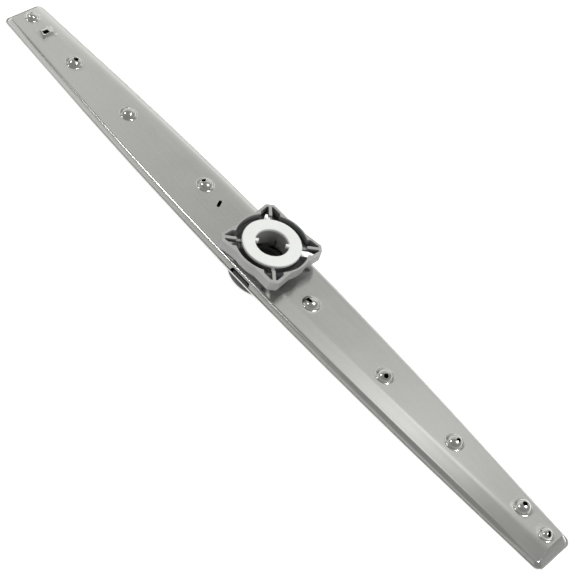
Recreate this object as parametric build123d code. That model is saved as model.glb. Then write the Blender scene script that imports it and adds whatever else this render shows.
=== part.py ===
from build123d import *
from dataclasses import dataclass
from math import cos, hypot, radians, sin
import os

# Dishwasher spray arm: two pressed stainless shells on a moulded hub that turns about a keyed collar.
# Millimetres, +Z up, +X along the arm. The origin is on the hub's axis, on the plane of the foot.

# Arm outline, at the seam between the two shells
REACH_PLUS_X = 269.5
REACH_MINUS_X = 271.2
END_SLANT = 0.045
HALF_WIDTH_AT_HUB = 26.7
HALF_WIDTH_AT_TIP = 16.8
TIP_TAPER_SLOPE = 0.064
CORNER_RADIUS = 5.0
SMALLEST_CORNER = 1.0

# Sheet and levels of the shells
SHEET = 0.7
SEAM_GAP = 0.05
ARM_TOP = 14.0
UPPER_DEPTH = 4.2
UPPER_INSET = 3.3
UPPER_FOLD_RADIUS = 1.4
LOWER_DEPTH = 4.6
LOWER_FLANGE = 4.5
LOWER_INSET = 7.6
LOWER_FOLD_RADIUS = 1.6
LIP_HEIGHT = 0.5
TRIM = 2.0
TOP_EDGES = -1
BOTTOM_EDGES = 0

# Bevel pressed along one side of each half of the arm
BEVEL_CLEAR_OF_HUB = 0.5
CREASE_AT_START = 11.0
CREASE_MIDWAY = 6.9
CREASE_AT_TIP = 0.5
BEVEL_SLOPE_AT_START = 0.026
BEVEL_SLOPE_MIDWAY = 0.062
BEVEL_SLOPE_AT_TIP = 0.115
BEVEL_MIDWAY = 160.0

# Relief cut in each side of the upper shell, beside the hub
RELIEF_WIDTH = 18.0
RELIEF_OFFSET = 2.0
RELIEF_DROP = 1.6
RELIEF_CORNER = 1.6

# Nozzles pressed in the upper shell
DOME_ROOT_RADIUS = 1.5
LOUVRE_LENGTH = 8.5
LOUVRE_WIDTH = 11.0
LOUVRE_HEIGHT = 2.6
LOUVRE_DRAFT = 30.0
LOUVRE_HOLE_LENGTH = 3.0
LOUVRE_HOLE_WIDTH = 4.6
LOUVRE_ROUND = 0.6
LOUVRE_X = -242.0
LOUVRE_Y = -0.6
SLOT_X = -52.7
SLOT_Y = 3.2
SLOT_LENGTH = 6.6
SLOT_WIDTH = 2.3
SLOT_ANGLE = -61.5

# Bearing between the collar's journal and the upper hub's sleeve
FEED_BORE_RADIUS = 11.5
JOURNAL_WALL = 2.0
RUNNING_CLEARANCE = 0.06
END_FLOAT = 0.3
SLEEVE_WALL = 2.4
BEARING_LENGTH = 3.6
JOIN_CLEARANCE = 0.05

# Upper hub
SEAT_FLANGE_RADIUS = 19.5
SEAT_FLANGE_THICKNESS = 1.6
NECK_RADIUS = 16.5
THRUST_FLANGE_RADIUS = 19.0
THRUST_FLANGE_THICKNESS = 1.8
NECK_HEIGHT = 6.9
SLEEVE_INSERTION = 3.0

# Lower hub
CUP_WALL = 1.95
FOOT_RADIUS = 23.8
FOOT_THICKNESS = 2.0
FOOT_BOSS_RADIUS = 19.0
FOOT_EDGE = 0.6
WINDOW_COUNT = 4
WINDOW_WIDTH = 20.0
WINDOW_SILL = 0.4
WINDOW_LINTEL = 0.3
SHELF_WIDTH = 16.0
SHELF_HEIGHT = 2.2
SHELF_GAP = 0.4

# Collar
HUB_TURN = 5.2
LUG_COUNT = 4
COLLAR_HEIGHT = 8.1
COLLAR_RADIUS = 26.2
COLLAR_WALL = 1.0
LUG_RISE = 7.6
LUG_TIP_HALF_WIDTH = 3.0
LUG_TIP_WALL = 2.0
LUG_VALLEY_SINK = 2.0
LUG_TIP_ROUND = 1.9
LUG_ROOT_ROUND = 5.0
POCKET_SHARE = 0.74
DRAIN_SHARE = 0.35
POCKET_SHOULDER = 0.6
POCKET_CLEARANCE = 0.4
SPOKE_WIDTH = 2.2
SPOKE_HEIGHT = 3.0
SPOKE_STEP_REACH = 24.0
COLLAR_SLEEVE_RADIUS = 20.2
COLLAR_SLEEVE_WALL = 1.8
COLLAR_FLOOR = 1.8
SNAP_LIP = 0.9
SNAP_LIP_HEIGHT = 1.6
SNAP_ROOM = 0.3
SNAP_SLIT_WIDTH = 1.6
SNAP_SLIT_COUNT = 4
SNAP_SLIT_TURN = 22.5
SNAP_SLIT_HEIGHT = 4.8

# Bearing ring on top of the collar
RING_RADIUS = 20.4
RING_THICKNESS = 2.3
RING_PROUD = 0.4
RING_EDGE = 0.5
SPIGOT_DEPTH = 1.5
SPIGOT_WALL = 1.4
KEY_REACH = 2.3
KEY_WIDTH = 2.4
KEY_ANGLE = 45.0
KEY_COUNT = 2
KEYWAY_DEPTH = 1.1
KEYWAY_SIDE_GAP = 0.4
KEYWAY_LENGTH = 7.5
STOP_TAB_REACH = 1.2
STOP_TAB_WIDTH = 2.6
STOP_TAB_ANGLE = 146.0
TAB_ROOT = 1.0

# How a box lies when it is drawn outwards from the hub's axis
OUT_AND_UP = (Align.MIN, Align.CENTER, Align.MIN)

# Levels and radii that follow
SEAM = ARM_TOP - UPPER_DEPTH
SEAM_UNDER = SEAM - SHEET
ARM_BOTTOM = SEAM_UNDER - LOWER_DEPTH
JOURNAL_RADIUS = FEED_BORE_RADIUS + JOURNAL_WALL
SLEEVE_BORE = JOURNAL_RADIUS + RUNNING_CLEARANCE
SLEEVE_RADIUS = SLEEVE_BORE + SLEEVE_WALL
CUP_BORE = SLEEVE_RADIUS + JOIN_CLEARANCE
CUP_RADIUS = CUP_BORE + CUP_WALL
CUP_RIM = ARM_TOP - SHEET
SLEEVE_END = CUP_RIM - SLEEVE_INSERTION
THRUST_FACE = ARM_TOP + NECK_HEIGHT
COLLAR_UNDER = THRUST_FACE + END_FLOAT
COLLAR_TOP = COLLAR_UNDER + COLLAR_HEIGHT
LUG_REACH = COLLAR_RADIUS + LUG_RISE
RING_TOP = COLLAR_TOP + RING_PROUD
RING_SEAT = RING_TOP - RING_THICKNESS
BEARING_END = THRUST_FACE - BEARING_LENGTH
JOURNAL_END = BEARING_END - END_FLOAT - SNAP_LIP_HEIGHT
SNAP_BORE = JOURNAL_RADIUS + SNAP_LIP + SNAP_ROOM


@dataclass(frozen=True)
class Nozzle:
    """A domed nozzle: where it stands, its base, its height, and the jet hole's lean and shape."""

    x: float
    y: float
    base: float
    height: float
    lean: float
    heading: float
    hole: float
    slot: float = 0.0
    slot_turn: float = 0.0

    @property
    def ball(self):
        """Radius of the dome's crown, tangent to its root fillet."""
        return (self.base**2 + self.height**2 - 2 * self.height * DOME_ROOT_RADIUS) / (2 * self.height)


NOZZLES = [
    Nozzle(x=-260.2, y=0.2, base=5.8, height=3.8, lean=20, heading=187, hole=0.75, slot=3.6, slot_turn=83),
    Nozzle(x=-208.3, y=-1.2, base=6.9, height=4.2, lean=9, heading=45, hole=1.8),
    Nozzle(x=-149.6, y=1.4, base=6.9, height=4.2, lean=32, heading=162, hole=1.4),
    Nozzle(x=-70.8, y=6.0, base=6.9, height=4.2, lean=20, heading=206, hole=1.6),
    Nozzle(x=45.2, y=-0.5, base=6.9, height=4.2, lean=26, heading=221, hole=1.1, slot=5.8, slot_turn=-41),
    Nozzle(x=114.2, y=1.2, base=6.9, height=4.2, lean=26, heading=318, hole=1.6),
    Nozzle(x=176.0, y=4.0, base=6.9, height=4.2, lean=15, heading=21, hole=1.4),
    Nozzle(x=234.2, y=6.5, base=6.8, height=4.2, lean=2, heading=90, hole=1.7),
    Nozzle(x=256.0, y=4.4, base=5.6, height=3.8, lean=20, heading=354, hole=1.0, slot=4.4, slot_turn=-39),
]


def half_turn(shape):
    """The same shape after half a turn about the hub's axis."""
    return Rot(0, 0, 180) * shape


def turned(shape, count, start=0.0):
    """Copies of a shape, evenly spaced about the hub's axis."""
    return [Rot(0, 0, start + 360 * k / count) * shape for k in range(count)]


def ring_sector(section):
    """Revolve a half section, drawn on the XZ plane, about the hub's axis."""
    return revolve(Plane.XZ * section, Axis.Z)


def band(inner, outer, low, high):
    """A half section of a plain ring."""
    return Pos(inner, low) * Rectangle(outer - inner, high - low, align=(Align.MIN, Align.MIN))


def planform(inset, height):
    """The arm's outline, moved in from the seam's outline by inset, as a face at a height."""
    plus = REACH_PLUS_X - inset
    minus = REACH_MINUS_X - inset
    hub = HALF_WIDTH_AT_HUB - inset
    tip = HALF_WIDTH_AT_TIP - inset
    skew = END_SLANT * tip
    rise = (1, TIP_TAPER_SLOPE)
    fall = (1, -TIP_TAPER_SLOPE)
    far = Spline((-minus - skew, tip), (0, hub), (plus - skew, tip), tangents=(rise, fall))
    near = Spline((-minus + skew, -tip), (0, -hub), (plus + skew, -tip), tangents=(fall, rise))
    ends = [Line(far @ 0, near @ 0), Line(far @ 1, near @ 1)]
    face = make_face([far, near] + ends)
    corner = max(CORNER_RADIUS - inset, SMALLEST_CORNER)
    return Pos(0, 0, height) * fillet(face.vertices(), corner)


def leaning_block(low_inset, low, high_inset, high):
    """A solid between two outlines of the arm, with straight leaning walls."""
    return loft([planform(low_inset, low), planform(high_inset, high)], ruled=True)


def folded_block(low_inset, low, high_inset, high, fold, side):
    """A leaning block with a rounded fold around its top or its bottom, chosen by side."""
    block = leaning_block(low_inset, low, high_inset, high)
    return fillet(block.edges().group_by(Axis.Z)[side], fold)


def bevel_cutter():
    """What the shallow bevel takes off the +X half's near side, with its twisted face below."""
    stations = [
        (SEAT_FLANGE_RADIUS + BEVEL_CLEAR_OF_HUB, CREASE_AT_START, BEVEL_SLOPE_AT_START),
        (BEVEL_MIDWAY, CREASE_MIDWAY, BEVEL_SLOPE_MIDWAY),
        (REACH_MINUS_X + TRIM, CREASE_AT_TIP, BEVEL_SLOPE_AT_TIP),
    ]
    outside = HALF_WIDTH_AT_HUB + TRIM
    sections = []
    for x, crease, slope in stations:
        outline = Polyline(
            (x, -crease, ARM_TOP),
            (x, -crease, ARM_TOP + TRIM),
            (x, -outside, ARM_TOP + TRIM),
            (x, -outside, ARM_TOP - slope * (outside - crease)),
            close=True,
        )
        sections.append(make_face(outline))
    return loft(sections)


def dome(nozzle, skin):
    """A dome moved in from the sheet's outer face by skin. Its root is rounded on the outside alone."""
    ball = nozzle.ball - skin
    ball_centre = ARM_TOP + nozzle.height - nozzle.ball
    root_rise = ARM_TOP + DOME_ROOT_RADIUS - ball_centre
    along = ball / hypot(nozzle.base, root_rise)
    hip = (nozzle.base * along, ball_centre + root_rise * along)
    foot = (nozzle.base, ARM_TOP - skin)
    axis = Line((0, foot[1] - SHEET), (0, ball_centre + ball))
    cap = RadiusArc(axis @ 1, hip, ball)
    root = Line(hip, foot) if skin else RadiusArc(hip, foot, -DOME_ROOT_RADIUS)
    under = Polyline(foot, (nozzle.base, foot[1] - SHEET), axis @ 0)
    return Pos(nozzle.x, nozzle.y, 0) * ring_sector(make_face([axis, cap, root, under]))


def jet_hole(nozzle):
    """The cutter of a dome's jet hole, a round hole or a slot, along the jet."""
    centre = Pos(nozzle.x, nozzle.y, ARM_TOP + nozzle.height - nozzle.ball)
    aim = Rot(0, 0, nozzle.heading) * Rot(0, nozzle.lean, 0) * Rot(0, 0, nozzle.slot_turn)
    if nozzle.slot:
        outline = SlotOverall(nozzle.slot, 2 * nozzle.hole)
    else:
        outline = Circle(nozzle.hole)
    start = nozzle.ball - TRIM
    return centre * aim * Pos(0, 0, start) * extrude(outline, 2 * TRIM)


def louvre(skin):
    """The low rectangular blister near one tip, moved in by skin."""
    base = Rectangle(LOUVRE_LENGTH - 2 * skin, LOUVRE_WIDTH - 2 * skin)
    block = extrude(base, LOUVRE_HEIGHT, taper=LOUVRE_DRAFT)
    block = fillet(block.edges().filter_by(Axis.Z, reverse=True).group_by(Axis.Z)[-1], LOUVRE_ROUND)
    return Pos(LOUVRE_X, LOUVRE_Y, ARM_TOP - skin) * block


def relief_cutter():
    """The notch in the near side wall of the upper shell, beside the hub."""
    notch = RectangleRounded(RELIEF_WIDTH, 2 * UPPER_DEPTH, RELIEF_CORNER)
    top = ARM_TOP - RELIEF_DROP
    start = Pos(RELIEF_OFFSET, -HALF_WIDTH_AT_HUB - TRIM, top - UPPER_DEPTH)
    depth = UPPER_INSET + 2 * TRIM
    return start * extrude(Plane.XZ * notch, -depth)


def pressed_body(low_inset, low, high_inset, high, skin):
    """The upper shell's outer or inner form, with the bevel on one side of each half."""
    cutter = Pos(0, 0, -skin) * bevel_cutter()
    block = folded_block(low_inset, low, high_inset, high, UPPER_FOLD_RADIUS - skin, TOP_EDGES)
    return block - cutter - half_turn(cutter)


def upper_shell():
    """The pressed top of the arm, with its nozzles."""
    low_inset = SHEET + SEAM_GAP
    run = UPPER_INSET - low_inset
    lean = run / UPPER_DEPTH
    wall = SHEET * hypot(run, UPPER_DEPTH) / UPPER_DEPTH
    outer = pressed_body(low_inset, SEAM, UPPER_INSET, ARM_TOP, 0)
    inner_low = low_inset + wall - lean * TRIM
    inner_high = UPPER_INSET + wall - lean * SHEET
    inner = pressed_body(inner_low, SEAM - TRIM, inner_high, ARM_TOP - SHEET, SHEET)
    shell = outer - inner
    for nozzle in NOZZLES:
        shell += dome(nozzle, 0)
    shell += louvre(0)
    for nozzle in NOZZLES:
        shell -= dome(nozzle, SHEET)
        shell -= jet_hole(nozzle)
    shell -= louvre(SHEET)
    louvre_hole = extrude(Rectangle(LOUVRE_HOLE_LENGTH, LOUVRE_HOLE_WIDTH), LOUVRE_HEIGHT + TRIM)
    shell -= Pos(LOUVRE_X, LOUVRE_Y, ARM_TOP) * louvre_hole
    slot = extrude(SlotOverall(SLOT_LENGTH, SLOT_WIDTH), 2 * TRIM)
    shell -= Pos(SLOT_X, SLOT_Y, ARM_TOP - TRIM) * Rot(0, 0, SLOT_ANGLE) * slot
    shell -= Pos(0, 0, SEAM) * extrude(Circle(SLEEVE_RADIUS + JOIN_CLEARANCE), UPPER_DEPTH + TRIM)
    return shell - relief_cutter() - half_turn(relief_cutter())


def lower_shell():
    """The pressed underside of the arm, with a lip around the upper shell's edge."""
    run = LOWER_INSET - LOWER_FLANGE
    lean = run / LOWER_DEPTH
    wall = SHEET * hypot(run, LOWER_DEPTH) / LOWER_DEPTH
    rim = extrude(planform(0, SEAM_UNDER), SHEET + LIP_HEIGHT)
    tray = folded_block(LOWER_INSET, ARM_BOTTOM, LOWER_FLANGE, SEAM_UNDER, LOWER_FOLD_RADIUS, BOTTOM_EDGES)
    inside_rim = extrude(planform(SHEET, SEAM), LIP_HEIGHT)
    inside_low = LOWER_INSET + wall - lean * SHEET
    inside_high = LOWER_FLANGE + wall - lean * SHEET
    inner_fold = LOWER_FOLD_RADIUS - SHEET
    inside = folded_block(inside_low, ARM_BOTTOM + SHEET, inside_high, SEAM, inner_fold, BOTTOM_EDGES)
    hole = extrude(Circle(CUP_RADIUS + JOIN_CLEARANCE), ARM_TOP)
    return rim + tray - inside_rim - inside - hole


def upper_hub():
    """The bearing on top of the arm, with its seat flange, thrust flange and room for the snap lip."""
    profile = band(SNAP_BORE, SLEEVE_RADIUS, SLEEVE_END, BEARING_END)
    profile += band(SNAP_BORE, SEAT_FLANGE_RADIUS, ARM_TOP, ARM_TOP + SEAT_FLANGE_THICKNESS)
    profile += band(SNAP_BORE, NECK_RADIUS, ARM_TOP, BEARING_END)
    profile += band(SLEEVE_BORE, NECK_RADIUS, BEARING_END, THRUST_FACE)
    profile += band(SLEEVE_BORE, THRUST_FLANGE_RADIUS, THRUST_FACE - THRUST_FLANGE_THICKNESS, THRUST_FACE)
    return ring_sector(profile)


def lower_hub():
    """The cup inside the arm, with windows all round, a shelf behind each relief notch and the foot below."""
    profile = band(0, FOOT_RADIUS, 0, FOOT_THICKNESS)
    profile += band(0, FOOT_BOSS_RADIUS, 0, ARM_BOTTOM)
    profile += band(0, CUP_RADIUS, 0, CUP_RIM)
    profile -= band(0, CUP_BORE, FOOT_THICKNESS, CUP_RIM)
    cup = ring_sector(profile)
    rim = cup.edges().filter_by(GeomType.CIRCLE).filter_by(lambda e: e.radius > FOOT_BOSS_RADIUS)
    cup = chamfer(rim, FOOT_EDGE)
    sill = ARM_BOTTOM + SHEET + WINDOW_SILL
    height = SLEEVE_END - WINDOW_LINTEL - sill
    window = Box(CUP_RADIUS + TRIM, WINDOW_WIDTH, height, align=OUT_AND_UP)
    for cutter in turned(Pos(0, 0, sill) * window, WINDOW_COUNT):
        cup -= cutter
    shelf_root = CUP_RADIUS - TAB_ROOT
    shelf_reach = HALF_WIDTH_AT_HUB - UPPER_INSET - SHELF_GAP - shelf_root
    shelf = Box(SHELF_WIDTH, shelf_reach, SHELF_HEIGHT, align=(Align.CENTER, Align.MAX, Align.MIN))
    shelf = Pos(RELIEF_OFFSET, -shelf_root, SEAM + SHELF_GAP) * shelf
    return cup + shelf + half_turn(shelf)


def lug_valley():
    """Where a lug's straight flank ends, halfway to the next lug and inside the collar's circle."""
    half_pitch = radians(180 / LUG_COUNT)
    valley = COLLAR_RADIUS - LUG_VALLEY_SINK
    return valley * cos(half_pitch), valley * sin(half_pitch)


def collar_outline():
    """The collar's wavy outline: a circle and a four-pointed star, with rounded tips and roots."""
    half_pitch = 180 / LUG_COUNT
    lug = [(LUG_REACH, -LUG_TIP_HALF_WIDTH), (LUG_REACH, LUG_TIP_HALF_WIDTH), lug_valley()]
    corners = []
    for k in range(LUG_COUNT):
        turn = HUB_TURN + half_pitch + 360 * k / LUG_COUNT
        corners += [Vector(x, y).rotate(Axis.Z, turn) for x, y in lug]
    face = Circle(COLLAR_RADIUS) + make_face(Polyline(*corners, close=True))
    shoulder = LUG_REACH - LUG_TIP_ROUND
    tips = face.vertices().filter_by(lambda v: hypot(v.X, v.Y) > shoulder)
    face = fillet(tips, LUG_TIP_ROUND)
    roots = face.vertices().filter_by(lambda v: hypot(v.X, v.Y) < (COLLAR_RADIUS + shoulder) / 2)
    return fillet(roots, LUG_ROOT_ROUND)


def lug_opening(share):
    """An opening on both sides of a lug's spoke, drawn along +X, that takes a share of the lug's width."""
    start = COLLAR_SLEEVE_RADIUS + POCKET_CLEARANCE
    shoulder = COLLAR_RADIUS + POCKET_SHOULDER
    tip = LUG_REACH - LUG_TIP_WALL
    valley_x, valley_y = lug_valley()
    flank = (valley_y - LUG_TIP_HALF_WIDTH) / (LUG_REACH - valley_x)
    wide = share * (LUG_TIP_HALF_WIDTH + (LUG_REACH - shoulder) * flank)
    narrow = share * LUG_TIP_HALF_WIDTH
    near_side = [(start, -wide), (shoulder, -wide), (tip, -narrow)]
    far_side = [(x, -y) for x, y in reversed(near_side)]
    return make_face(Polyline(*near_side, *far_side, close=True))


def hub_collar():
    """The four-lug collar: skirt, floor, pockets, drains, spokes, ring seat, and the arm's journal."""
    outline = collar_outline()
    lug_turn = HUB_TURN + 180 / LUG_COUNT
    collar = Pos(0, 0, COLLAR_UNDER) * extrude(outline, COLLAR_HEIGHT)
    collar -= Pos(0, 0, COLLAR_UNDER) * extrude(Circle(FEED_BORE_RADIUS), COLLAR_HEIGHT)
    well = Circle(COLLAR_RADIUS - COLLAR_WALL)
    for pocket in turned(lug_opening(POCKET_SHARE), LUG_COUNT, lug_turn):
        well += pocket
    collar -= Pos(0, 0, COLLAR_UNDER + COLLAR_FLOOR) * extrude(well, COLLAR_HEIGHT)
    for drain in turned(extrude(lug_opening(DRAIN_SHARE), COLLAR_HEIGHT), LUG_COUNT, lug_turn):
        collar -= Pos(0, 0, COLLAR_UNDER) * drain
    sleeve_inside = COLLAR_SLEEVE_RADIUS - COLLAR_SLEEVE_WALL
    core = band(sleeve_inside, COLLAR_SLEEVE_RADIUS, COLLAR_UNDER, RING_SEAT)
    core += band(FEED_BORE_RADIUS, JOURNAL_RADIUS, JOURNAL_END, RING_SEAT)
    core += band(FEED_BORE_RADIUS, JOURNAL_RADIUS + SNAP_LIP, JOURNAL_END, JOURNAL_END + SNAP_LIP_HEIGHT)
    collar += ring_sector(core)
    spoke_under = COLLAR_TOP - SPOKE_HEIGHT
    spoke = make_face(
        Polyline(
            (COLLAR_SLEEVE_RADIUS - COLLAR_SLEEVE_WALL / 2, spoke_under),
            (LUG_REACH - LUG_TIP_WALL / 2, spoke_under),
            (LUG_REACH - LUG_TIP_WALL / 2, COLLAR_TOP),
            (SPOKE_STEP_REACH, COLLAR_TOP),
            (SPOKE_STEP_REACH, RING_SEAT),
            (COLLAR_SLEEVE_RADIUS - COLLAR_SLEEVE_WALL / 2, RING_SEAT),
            close=True,
        )
    )
    spoke = extrude(Plane.XZ * spoke, SPOKE_WIDTH / 2, both=True)
    for copy in turned(spoke, LUG_COUNT, lug_turn):
        collar += copy
    keyway_width = KEY_WIDTH + 2 * KEYWAY_SIDE_GAP
    keyway = Box(FEED_BORE_RADIUS + KEYWAY_DEPTH, keyway_width, KEYWAY_LENGTH, align=OUT_AND_UP)
    for cutter in turned(Pos(0, 0, RING_SEAT - KEYWAY_LENGTH) * keyway, KEY_COUNT, KEY_ANGLE):
        collar -= cutter
    slit = Box(JOURNAL_RADIUS + TRIM, SNAP_SLIT_WIDTH, SNAP_SLIT_HEIGHT, align=OUT_AND_UP)
    for cutter in turned(Pos(0, 0, JOURNAL_END) * slit, SNAP_SLIT_COUNT, SNAP_SLIT_TURN):
        collar -= cutter
    return collar


def bearing_ring():
    """The white ring seated in the collar, with two key tabs in its bore and a stop tab beside a spoke."""
    profile = band(FEED_BORE_RADIUS, RING_RADIUS, RING_SEAT, RING_TOP)
    profile = chamfer(profile.vertices().group_by(Axis.Y)[-1], RING_EDGE)
    spigot_radius = COLLAR_SLEEVE_RADIUS - COLLAR_SLEEVE_WALL - JOIN_CLEARANCE
    spigot_end = RING_SEAT - SPIGOT_DEPTH
    profile += band(spigot_radius - SPIGOT_WALL, spigot_radius, spigot_end, RING_SEAT + RING_EDGE)
    ring = ring_sector(profile)
    key = Box(KEY_REACH + TAB_ROOT, KEY_WIDTH, RING_THICKNESS, align=OUT_AND_UP)
    for copy in turned(Pos(FEED_BORE_RADIUS - KEY_REACH, 0, RING_SEAT) * key, KEY_COUNT, KEY_ANGLE):
        ring += copy
    tab = Box(STOP_TAB_REACH + TAB_ROOT, STOP_TAB_WIDTH, RING_THICKNESS, align=OUT_AND_UP)
    return ring + Rot(0, 0, STOP_TAB_ANGLE) * Pos(RING_RADIUS - TAB_ROOT, 0, RING_SEAT) * tab


PARTS = {
    "upper_shell": upper_shell,
    "lower_shell": lower_shell,
    "upper_hub": upper_hub,
    "lower_hub": lower_hub,
    "hub_collar": hub_collar,
    "bearing_ring": bearing_ring,
}

os.makedirs("parts", exist_ok=True)
for name, make in PARTS.items():
    export_step(make(), f"parts/{name}.step")
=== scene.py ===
# Dishwasher spray arm: pressed stainless shells on a grey moulded hub with a white bearing ring.
import logging
import math
from dataclasses import dataclass, field
from enum import Enum
from typing import Any, Optional, Sequence

import bmesh
import bpy
import numpy as np
from mathutils import Matrix, Vector
from mathutils.bvhtree import BVHTree
from mathutils.geometry import delaunay_2d_cdt


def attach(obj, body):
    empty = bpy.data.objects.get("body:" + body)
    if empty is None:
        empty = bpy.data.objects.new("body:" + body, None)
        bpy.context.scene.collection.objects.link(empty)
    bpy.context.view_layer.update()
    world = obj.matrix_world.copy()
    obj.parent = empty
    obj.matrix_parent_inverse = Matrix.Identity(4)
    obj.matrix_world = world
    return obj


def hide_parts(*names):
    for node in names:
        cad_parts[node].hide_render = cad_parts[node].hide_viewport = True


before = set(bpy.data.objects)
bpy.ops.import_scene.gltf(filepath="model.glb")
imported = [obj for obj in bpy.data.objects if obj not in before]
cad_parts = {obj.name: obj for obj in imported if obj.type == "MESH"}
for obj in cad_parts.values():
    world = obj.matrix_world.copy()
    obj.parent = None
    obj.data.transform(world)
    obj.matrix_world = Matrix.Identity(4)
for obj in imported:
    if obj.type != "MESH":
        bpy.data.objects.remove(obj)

LOG = logging.getLogger("spray_arm")
MM = 0.001
TURN = 2 * math.pi
GOLDEN = (math.sqrt(5) - 1) / 2
WELD = 0.001 * MM
NUDGE = 1e-4
Point = tuple[float, float]
Point3 = tuple[float, float, float]


class Body(Enum):
    """The two bodies that the hinge joins."""

    COLLAR = "collar"
    ARM = "arm"


class Slot(Enum):
    """The record's material slots."""

    STAINLESS = "stainless"
    GREY = "grey_plastic"
    WHITE = "white_plastic"


class Val:
    """A node's output socket that takes part in Python sums."""

    def __init__(self, sheet: "NodeSheet", socket: bpy.types.NodeSocket) -> None:
        """Keep the socket and the sheet that new nodes go on."""
        self.sheet = sheet
        self.socket = socket

    def _math(self, operation: str, *values: Any) -> "Val":
        """Add one Math node.

        Args:
            operation: the Math node's operation.
            values: its operands, sockets or numbers, in order.

        Returns:
            The node's result.
        """
        return self.sheet.add("ShaderNodeMath", {"operation": operation}, dict(enumerate(values)))

    def __add__(self, other: Any) -> "Val":
        """Self plus other."""
        return self._math("ADD", self, other)

    __radd__ = __add__

    def __sub__(self, other: Any) -> "Val":
        """Self minus other."""
        return self._math("SUBTRACT", self, other)

    def __rsub__(self, other: Any) -> "Val":
        """Other minus self."""
        return self._math("SUBTRACT", other, self)

    def __mul__(self, other: Any) -> "Val":
        """Self times other."""
        return self._math("MULTIPLY", self, other)

    __rmul__ = __mul__

    def __truediv__(self, other: Any) -> "Val":
        """Self over other."""
        return self._math("DIVIDE", self, other)

    def __rtruediv__(self, other: Any) -> "Val":
        """Other over self."""
        return self._math("DIVIDE", other, self)

    def __lt__(self, other: Any) -> "Val":
        """One where self is below other, and zero elsewhere."""
        return self._math("LESS_THAN", self, other)

    def sqrt(self) -> "Val":
        """Square root, zero below zero."""
        return self._math("SQRT", self._math("MAXIMUM", self, 0.0))

    def sin(self) -> "Val":
        """Sine of an angle in radians."""
        return self._math("SINE", self)

    def cos(self) -> "Val":
        """Cosine of an angle in radians."""
        return self._math("COSINE", self)

    def exp(self) -> "Val":
        """The exponential."""
        return self._math("EXPONENT", self)

    def sign(self) -> "Val":
        """Minus one, zero or one."""
        return self._math("SIGN", self)

    def ramp(self, low: float, high: float) -> "Val":
        """A smooth step from zero at low to one at high."""
        return self.sheet.add(
            "ShaderNodeMapRange",
            {"interpolation_type": "SMOOTHSTEP"},
            {"Value": self, "From Min": low, "From Max": high},
        )

    def bell(self, centre: float, width: float) -> "Val":
        """A smooth hump of height one about a centre."""
        spread = (self - centre) / width
        return (spread * spread * -1.0).exp()


class NodeSheet:
    """A node tree that nodes are added to by one method."""

    def __init__(self, tree: bpy.types.NodeTree) -> None:
        """Keep the tree."""
        self.tree = tree

    def node(self, kind: str, settings: Optional[dict] = None, inputs: Optional[dict] = None) -> bpy.types.Node:
        """Add any node.

        Args:
            kind: the node's type.
            settings: its own properties, set first.
            inputs: values or links of its sockets, by name or number.

        Returns:
            The new node.
        """
        made = self.tree.nodes.new(kind)
        for key, value in (settings or {}).items():
            setattr(made, key, value)
        for key, value in (inputs or {}).items():
            socket = made.inputs[key]
            if isinstance(value, Val):
                self.tree.links.new(value.socket, socket)
            else:
                socket.default_value = value
        return made

    def add(self, kind: str, settings: Optional[dict] = None, inputs: Optional[dict] = None, out: Any = 0) -> Val:
        """Add any node and give one of its outputs.

        Args:
            kind: the node's type.
            settings: its own properties.
            inputs: values or links of its sockets.
            out: name or number of the output.

        Returns:
            The output, ready for sums.
        """
        return Val(self, self.node(kind, settings, inputs).outputs[out])

    def xyz(self, vector: Val) -> tuple[Val, Val, Val]:
        """The three parts of a vector."""
        split = self.node("ShaderNodeSeparateXYZ", None, {0: vector})
        return Val(self, split.outputs[0]), Val(self, split.outputs[1]), Val(self, split.outputs[2])

    def vector(self, x: Any, y: Any, z: Any) -> Val:
        """A vector from three parts."""
        return self.add("ShaderNodeCombineXYZ", None, {0: x, 1: y, 2: z})

    def scaled(self, vector: Val, by: Point3) -> Val:
        """A vector times a vector, part by part."""
        return self.add("ShaderNodeVectorMath", {"operation": "MULTIPLY"}, {0: vector, 1: by})

    def noise(self, vector: Val, scale: float, detail: float = 2.0, rough: float = 0.5) -> Val:
        """Fractal noise from zero to one."""
        sizes = {"Vector": vector, "Scale": scale, "Detail": detail, "Roughness": rough}
        return self.add("ShaderNodeTexNoise", {"normalize": True}, sizes)

    def mix(self, factor: Any, first: Any, second: Any) -> Val:
        """A blend of two colours."""
        made = self.node("ShaderNodeMix", {"data_type": "RGBA"}, {0: factor})
        for number, value in ((6, first), (7, second)):
            if isinstance(value, Val):
                self.tree.links.new(value.socket, made.inputs[number])
            else:
                made.inputs[number].default_value = (*value, 1.0)
        return Val(self, made.outputs[2])

    def bump(self, height: Val, strength: float, distance: float, normal: Optional[Val] = None) -> Val:
        """A bumped normal, on top of another one where given."""
        inputs = {"Height": height, "Strength": strength, "Distance": distance}
        if normal is not None:
            inputs["Normal"] = normal
        return self.add("ShaderNodeBump", None, inputs)


class Paint(NodeSheet):
    """The node tree of one material with a Principled shader."""

    def __init__(self, name: str, fixed: dict[str, Any]) -> None:
        """Start a material.

        Args:
            name: the material's name.
            fixed: values that are the same all over, by socket name.
        """
        self.material = bpy.data.materials.new(name)
        self.material.use_nodes = True
        super().__init__(self.material.node_tree)
        self.shader = next(n for n in self.tree.nodes if n.type == "BSDF_PRINCIPLED")
        for key, value in fixed.items():
            self.shader.inputs[key].default_value = value
        self.place = self.add("ShaderNodeTexCoord", None, None, "Object")

    def feed(self, **links: Val) -> bpy.types.Material:
        """Link what varies over the surface.

        Args:
            links: shader sockets by name, with _ for a space.

        Returns:
            The finished material.
        """
        for key, value in links.items():
            self.tree.links.new(value.socket, self.shader.inputs[key.replace("_", " ")])
        return self.material


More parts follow.
